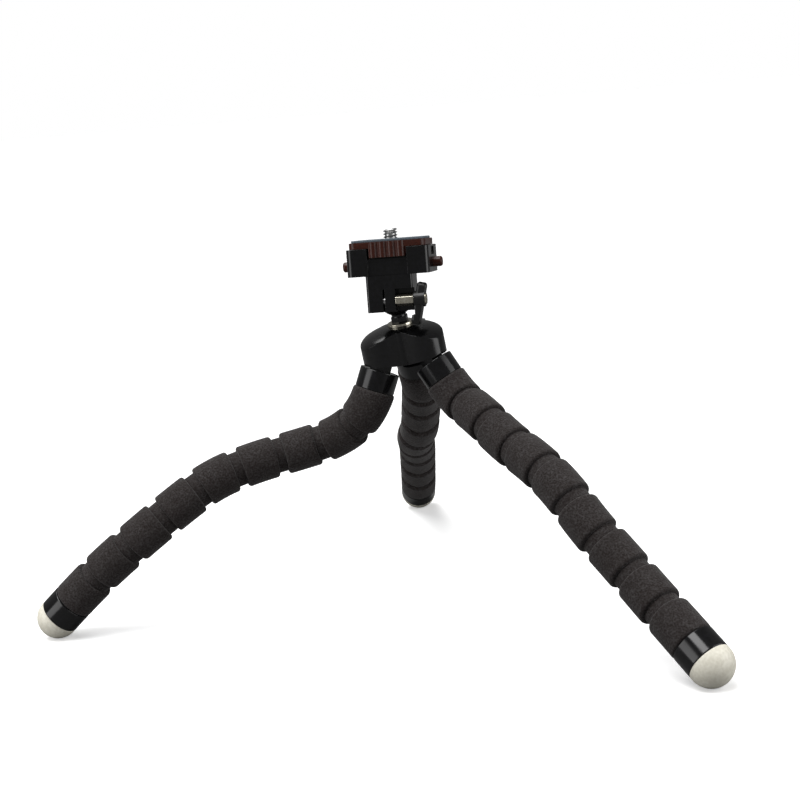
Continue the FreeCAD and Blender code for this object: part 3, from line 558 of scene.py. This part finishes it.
class Workshop:
    """Builds finishes once, and finishes, places and mounts every piece."""

    def __init__(self) -> None:
        """Make the shared shader groups."""
        self.grain = grain_group()
        self.mottle = mottle_group()
        self.materials: dict[str, bpy.types.Material] = {}

    def dress(self, thing: bpy.types.Object, finish: Finish) -> None:
        """Give a piece its finish.

        Args:
            thing: The piece.
            finish: Its finish.
        """
        if finish.name not in self.materials:
            self.materials[finish.name] = finish.build(self.grain, self.mottle)
        thing.data.materials.clear()
        thing.data.materials.append(self.materials[finish.name])

    def settle(self, thing: bpy.types.Object, name: str, frame: Matrix) -> None:
        """Name a piece and put its place into its mesh.

        Args:
            thing: The piece, modelled in millimetres at the world's origin.
            name: The piece's name.
            frame: Where it goes, in millimetres.
        """
        thing.name = name
        thing.data.name = name
        thing.matrix_world = Matrix.Scale(MM, 4) @ frame
        fix_place(thing)
        edit_all(thing)
        bpy.ops.mesh.normals_make_consistent(inside=False)
        bpy.ops.object.mode_set(mode="OBJECT")
        bpy.ops.object.shade_smooth_by_angle(angle=SMOOTH_ANGLE)

    def mount(self, thing: bpy.types.Object, body: str, finish: Finish, *nodes: str) -> None:
        """Ride a piece on a body, dress it and let it stand for its nodes.

        Args:
            thing: The piece.
            body: The body that it rides on.
            finish: Its finish.
            *nodes: The frame's nodes that it replaces.
        """
        self.dress(thing, finish)
        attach(thing, body)
        if nodes:
            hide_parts(*nodes)
        log.info("%s rides on %s", thing.name, body)


@dataclass
class FoamLeg:
    """A flexible leg: foam barrels, the necks between them, the wire core and the foot."""

    leg: Leg
    stance: Stance
    foam_radius: float = 9.25
    shoulder: float = 1.3
    rim: float = 1.3
    neck_radius: float = 7.6
    neck_bite: float = 1.6
    neck_steps: int = 6
    least_knee: float = 0.2
    core_radius: float = 1.5
    core_sides: int = 16
    core_grip: float = 4.0
    core_gap: float = 0.05
    core_chamfer: float = 0.3
    core_edge_angle: float = 60.0
    cap_length: float = 9.5
    foot_radius: float = 9.2
    foot_sides: int = 56
    foot_rim: float = 1.0
    foot_step: float = 0.25
    plug_radius: float = 5.5
    plug_length: float = 4.0

    @property
    def count(self) -> int:
        """How many barrels the leg has."""
        return len(self.stance.bends[self.leg][0])

    def body(self, number: int) -> str:
        """The body that a barrel rides on.

        Args:
            number: The barrel's number, from the hub.

        Returns:
            The body's name.
        """
        if number == 1:
            return f"{self.leg.label}_leg_top"
        if number == self.count:
            return f"{self.leg.label}_leg_end"
        return f"{self.leg.label}_link_{number}"

    def build(self, shop: Workshop) -> None:
        """Model every piece of the leg, and mount all of them but the necks.

        Args:
            shop: The workshop that dresses and mounts pieces.
        """
        places = self.stance.barrels(self.leg)
        for number, place in enumerate(places, 1):
            self.barrel(shop, number, place)
            self.core(shop, number, place)
            if number < len(places):
                self.neck(shop, number, place, places[number])
        self.foot(shop, places[-1].end)

    def barrel(self, shop: Workshop, number: int, place: BarrelPlace) -> None:
        """Model one foam barrel, rounded at its shoulder above and its rim below.

        Args:
            shop: The workshop that dresses and mounts pieces.
            number: The barrel's number, from the hub.
            place: The barrel's place.
        """
        drum = bent_bar(self.foam_radius, self.stance.barrel_length, place.arc)
        round_end(drum, self.shoulder, lambda face: face.center.length < NEAR_ORIGIN)
        round_end(drum, self.rim, lambda face: face.center.length > self.stance.barrel_length / 2)
        name = f"{self.leg.label}_barrel_{number}"
        shop.settle(drum, name + "_foam", place.top)
        shop.mount(drum, self.body(number), FOAM, name)

    def neck(self, shop: Workshop, number: int, above: BarrelPlace, below: BarrelPlace) -> None:
        """Model the narrow foam in a groove, bent to the turn between the two barrels.

        Args:
            shop: The workshop that dresses and mounts pieces.
            number: The number of the barrel above.
            above: That barrel's place.
            below: The next barrel's place.
        """
        neck = bent_bar(self.neck_radius, self.stance.groove_width, max(above.knee, self.least_knee),
                        steps=self.neck_steps, lead=self.neck_bite, tail=self.neck_bite)
        shop.settle(neck, f"{self.leg.label}_neck_{number}", above.end)
        shop.dress(neck, FOAM)
        self.body(number)
        self.body(number + 1)
        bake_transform(neck)
        log.info("%s bends between two barrels", neck.name)

    def core(self, shop: Workshop, number: int, place: BarrelPlace) -> None:
        """Model the stretch of bendable wire inside one barrel.

        Args:
            shop: The workshop that dresses and mounts pieces.
            number: The barrel's number, from the hub.
            place: The barrel's place.
        """
        half = self.stance.groove_width / 2 - self.core_gap
        lead = self.core_grip if number == 1 else half
        tail = self.core_grip if number == self.count else half
        wire = bent_bar(self.core_radius, self.stance.barrel_length, place.arc, sides=self.core_sides,
                        lead=lead, tail=tail)
        ease(wire, self.core_chamfer, angle=self.core_edge_angle)
        shop.settle(wire, f"{self.leg.label}_core_{number}", place.top)
        nodes = [f"{self.leg.label}_core"] if number == 1 else []
        shop.mount(wire, self.body(number), STEEL_WIRE, *nodes)

    def foot(self, shop: Workshop, end: Matrix) -> None:
        """Model the rubber dome, with its rim and its plug drawn up from half a ball.

        Args:
            shop: The workshop that dresses and mounts pieces.
            end: The frame at the last barrel's lower end.
        """
        bpy.ops.object.select_all(action="DESELECT")
        bpy.ops.mesh.primitive_uv_sphere_add(segments=self.foot_sides, ring_count=self.foot_sides // 2,
                                             radius=self.foot_radius)
        dome = bpy.context.object
        only(dome)
        choose(dome, lambda face: face.center.z > 0)
        bpy.ops.mesh.delete(type="FACE")
        bpy.ops.mesh.select_mode(type="EDGE")
        bpy.ops.mesh.select_all(action="SELECT")
        bpy.ops.mesh.region_to_loop()
        inner = self.foot_radius - self.foot_step
        outline = (
            (1.0, self.foot_rim - self.foot_step),
            (inner / self.foot_radius, self.foot_step),
            (self.plug_radius / inner, 0.0),
            (1.0, self.plug_length),
        )
        for share, rise in outline:
            bpy.ops.mesh.extrude_region_move(TRANSFORM_OT_translate={"value": (0, 0, rise)})
            bpy.ops.transform.resize(value=(share, share, 1))
        bpy.ops.mesh.edge_face_add()
        bpy.ops.object.mode_set(mode="OBJECT")
        name = f"{self.leg.label}_foot"
        shop.settle(dome, name + "_dome", end @ Matrix.Translation((0, 0, -self.cap_length - self.foot_rim)))
        shop.mount(dome, self.body(self.count), FOOT_RUBBER, name)


@dataclass
class Moulding:
    """A rigid part of the frame, shown with eased edges."""

    node: str
    body: str
    finish: Finish
    edge: float = 0.25
    segments: int = 2

    def build(self, shop: Workshop) -> None:
        """Copy the node, merge it, ease its edges and mount it.

        Args:
            shop: The workshop that dresses and mounts pieces.
        """
        copy = copy_of(self.node)
        ease(copy, self.edge * MM, self.segments)
        bpy.ops.object.shade_smooth_by_angle(angle=SMOOTH_ANGLE)
        apply_modifier(copy, "WEIGHTED_NORMAL", keep_sharp=True)
        shop.mount(copy, self.body, self.finish, self.node)


@dataclass
class CameraScrew:
    """The camera screw, with the head and neck of the frame's screw and a real thread above the pad."""

    stance: Stance
    axis_back: float = -0.7
    pad_top: float = 25.7
    proud: float = 5.5
    overlap: float = 0.1
    root_radius: float = 2.45
    root_sides: int = 48
    crest_radius: float = 3.175
    pitch: float = 1.27
    turns: int = 3
    ridge: float = 0.635
    tip: float = 0.5
    tip_edge_angle: float = 60.0
    edge: float = 0.15

    def build(self, shop: Workshop) -> None:
        """Cut the plain shank off a copy of the screw and put a threaded one on.

        Args:
            shop: The workshop that dresses and mounts pieces.
        """
        frame = self.stance.head_frame() @ Matrix.Translation((0, self.axis_back, self.pad_top))
        screw = copy_of("camera_screw")
        edit_all(screw)
        bpy.ops.mesh.bisect(plane_co=(frame @ Vector((0, 0, -self.overlap))) * MM,
                            plane_no=frame.to_3x3() @ Vector((0, 0, 1)), clear_outer=True, use_fill=True)
        bpy.ops.object.mode_set(mode="OBJECT")
        ease(screw, self.edge * MM)
        bpy.ops.object.select_all(action="DESELECT")
        bpy.ops.mesh.primitive_cylinder_add(vertices=self.root_sides, radius=self.root_radius,
                                            depth=self.proud + self.overlap,
                                            location=(0, 0, (self.proud - self.overlap) / 2))
        shank = bpy.context.object
        ease(shank, self.tip, segments=1, angle=self.tip_edge_angle)
        thread = helix(3, self.ridge, self.crest_radius - self.ridge, self.pitch, self.turns)
        shop.settle(shank, "shank", frame)
        shop.settle(thread, "thread", frame)
        only(screw)
        shank.select_set(True)
        thread.select_set(True)
        bpy.ops.object.join()
        bpy.ops.object.shade_smooth_by_angle(angle=SMOOTH_ANGLE)
        shop.mount(screw, "camera_fixing", STEEL, "camera_screw")


@dataclass
class ButtonSpring:
    """The coil spring that pushes a release button out."""

    stance: Stance
    side: str
    way: int
    level: float = 14.5
    start: float = 10.3
    end: float = 12.75
    radius: float = 1.8
    wire: float = 0.35
    wire_sides: int = 10
    turns: int = 3
    pressed_share: float = 0.18

    def build(self, shop: Workshop) -> None:
        """Wind the spring and mount it on the housing.

        Args:
            shop: The workshop that dresses and mounts pieces.
        """
        length = self.end - self.start - 2 * self.wire
        coil = helix(self.wire_sides, self.wire, self.radius, length / self.turns, self.turns)
        head = self.stance.head_frame()
        seat = Vector((self.way * self.start, 0, self.level))
        frame = (head @ Matrix.Translation(seat) @ turned("Y", 90 * self.way)
                 @ Matrix.Translation((0, 0, self.wire)))
        name = f"{self.side}_button_spring"
        shop.settle(coil, name + "_coil", frame)
        shop.mount(coil, "housing", STEEL_WIRE, name)
        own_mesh(coil)


@dataclass(frozen=True)
class Softbox:
    """A soft rectangular lamp, in metres."""

    name: str
    place: Place
    width: float
    height: float

    def build(self, radiance: float, target: Place) -> None:
        """Hang the lamp so that it faces the tripod.

        Args:
            radiance: How bright its surface is.
            target: The place that it faces.
        """
        light = bpy.data.lights.new(self.name, "AREA")
        light.shape = "RECTANGLE"
        light.size = self.width
        light.size_y = self.height
        light.energy = radiance * math.pi * self.width * self.height
        holder = bpy.data.objects.new(self.name, light)
        bpy.context.scene.collection.objects.link(holder)
        holder.location = self.place
        aim = Vector(target) - holder.location
        holder.rotation_euler = aim.to_track_quat("-Z", "Y").to_euler()


@dataclass
class Studio:
    """Floor, light and the camera at the photograph's place."""

    camera_place: Place = (26.08, -748.25, 225.58)
    camera_pitch: float = 10.367
    camera_roll: float = -4.707
    focal_points: float = 1693.7
    frame_points: float = 800.0
    sensor_width: float = 36.0
    sight: float = 20.0
    daylight_strength: float = 2.3
    daylight_spread: float = 35.0
    daylight_tip: float = 14.0
    daylight_roll: float = -16.0
    softboxes: tuple[Softbox, ...] = (
        Softbox("left_box", (-0.5, -0.3, 0.22), 0.36, 0.5),
        Softbox("right_box", (0.52, -0.22, 0.22), 0.36, 0.5),
        Softbox("top_box", (-0.1, 0.25, 0.75), 0.5, 0.5),
    )
    box_radiance: float = 3.0
    box_target: Place = (0.0, 0.0, 0.12)
    floor_size: float = 40.0
    floor_seen: float = 0.9
    floor_unseen: float = 0.22
    floor_lift: float = 0.4
    air: float = 0.12
    air_in_gloss: float = 0.2

    def build(self) -> None:
        """Make the floor, the lamps, the world and the camera."""
        self.floor()
        self.daylight()
        for box in self.softboxes:
            box.build(self.box_radiance, self.box_target)
        self.sky()
        self.camera()
        bpy.context.scene.view_settings.view_transform = "Standard"

    def floor(self) -> None:
        """A plain pale floor that looks white to the eye and sends less light back up."""
        bpy.ops.object.select_all(action="DESELECT")
        bpy.ops.mesh.primitive_plane_add(size=self.floor_size)
        floor = bpy.context.object
        floor.name = "floor"
        material = bpy.data.materials.new("floor")
        material.use_nodes = True
        nodes, links = material.node_tree.nodes, material.node_tree.links
        shader = nodes["Principled BSDF"]
        shader.inputs["Roughness"].default_value = 1.0
        shader.inputs["Specular IOR Level"].default_value = 0.0
        shader.inputs["Emission Color"].default_value = (1, 1, 1, 1)
        path = nodes.new("ShaderNodeLightPath")
        tone = nodes.new("ShaderNodeMix")
        tone.data_type = "RGBA"
        tone.inputs["A"].default_value = (*[self.floor_unseen] * 3, 1)
        tone.inputs["B"].default_value = (*[self.floor_seen] * 3, 1)
        lift = nodes.new("ShaderNodeMath")
        lift.operation = "MULTIPLY"
        lift.inputs[1].default_value = self.floor_lift
        links.new(path.outputs["Is Camera Ray"], tone.inputs["Factor"])
        links.new(path.outputs["Is Camera Ray"], lift.inputs[0])
        links.new(tone.outputs["Result"], shader.inputs["Base Color"])
        links.new(lift.outputs["Value"], shader.inputs["Emission Strength"])
        floor.data.materials.append(material)

    def daylight(self) -> None:
        """A soft light from above that lights the floor evenly."""
        light = bpy.data.lights.new("daylight", "SUN")
        light.energy = self.daylight_strength
        light.angle = math.radians(self.daylight_spread)
        holder = bpy.data.objects.new("daylight", light)
        bpy.context.scene.collection.objects.link(holder)
        holder.rotation_euler = (math.radians(self.daylight_tip), math.radians(self.daylight_roll), 0)

    def sky(self) -> None:
        """A backdrop that is white to the eye and softer in reflections and on the object."""
        world = bpy.data.worlds.new("studio")
        bpy.context.scene.world = world
        world.use_nodes = True
        nodes, links = world.node_tree.nodes, world.node_tree.links
        background = nodes["Background"]
        background.inputs["Color"].default_value = (1, 1, 1, 1)
        path = nodes.new("ShaderNodeLightPath")
        mirrored = nodes.new("ShaderNodeMath")
        mirrored.operation = "MAXIMUM"
        gloss = nodes.new("ShaderNodeMapRange")
        gloss.inputs["To Min"].default_value = self.air
        gloss.inputs["To Max"].default_value = self.air_in_gloss
        strength = nodes.new("ShaderNodeMath")
        strength.operation = "MAXIMUM"
        links.new(path.outputs["Is Glossy Ray"], mirrored.inputs[0])
        links.new(path.outputs["Is Transmission Ray"], mirrored.inputs[1])
        links.new(mirrored.outputs["Value"], gloss.inputs["Value"])
        links.new(gloss.outputs["Result"], strength.inputs[0])
        links.new(path.outputs["Is Camera Ray"], strength.inputs[1])
        links.new(strength.outputs["Value"], background.inputs["Strength"])

    def camera(self) -> None:
        """The camera at the photograph's viewing angle."""
        data = bpy.data.cameras.new("camera")
        data.sensor_width = self.sensor_width
        data.lens = self.focal_points / self.frame_points * self.sensor_width
        data.clip_end = self.sight
        holder = bpy.data.objects.new("camera", data)
        bpy.context.scene.collection.objects.link(holder)
        frame = turned("X", 90 - self.camera_pitch) @ turned("Z", self.camera_roll)
        holder.matrix_world = Matrix.Translation(Vector(self.camera_place) * MM) @ frame
        bpy.context.scene.camera = holder


def main() -> None:
    """Build the tripod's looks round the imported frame."""
    logging.basicConfig(level=logging.INFO, format="%(message)s")
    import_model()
    stance = Stance()
    shop = Workshop()
    for leg in Leg:
        FoamLeg(leg, stance).build(shop)
    mouldings = [
        Moulding("hub_shell", "hub", GLOSS_BLACK, edge=0.3),
        Moulding("ball_stud", "stud", GLOSS_BLACK, edge=0.15),
        Moulding("hub_washer", "stud", BRIGHT_METAL, edge=0.15),
        Moulding("ball_housing", "housing", GLOSS_BLACK, edge=0.3),
        Moulding("clamp_spacer", "housing", BRIGHT_METAL, edge=0.2),
        Moulding("wing_lever", "lever", SATIN_BLACK, edge=0.4, segments=3),
        Moulding("clamp_nut", "lever", BRIGHT_METAL, edge=0.15),
        Moulding("quick_release_base", "housing", GLOSS_BLACK, edge=0.4, segments=3),
        Moulding("quick_release_plate", "plate", MAROON, edge=0.3),
        Moulding("plate_pad", "plate", PAD_RUBBER, edge=0.3),
        Moulding("left_release_button", "left_button", MAROON, edge=0.2),
        Moulding("right_release_button", "right_button", MAROON, edge=0.2),
    ]
    for leg in Leg:
        mouldings.append(Moulding(f"{leg.label}_collar", f"{leg.label}_leg_top", GLOSS_BLACK, edge=0.2))
        mouldings.append(Moulding(f"{leg.label}_end_cap", f"{leg.label}_leg_end", GLOSS_BLACK, edge=0.2))
    for moulding in mouldings:
        moulding.build(shop)
    CameraScrew(stance).build(shop)
    for side, way in (("left", -1), ("right", 1)):
        ButtonSpring(stance, side, way).build(shop)
    for node in ("leg_pins", "hub_bolt", "clamp_screw", "base_screws", "screw_clip"):
        shop.dress(bpy.data.objects[node], STEEL)
        log.info("%s is shown as it is in the frame", node)
    Studio().build()


if __name__ == "__main__":
    main()
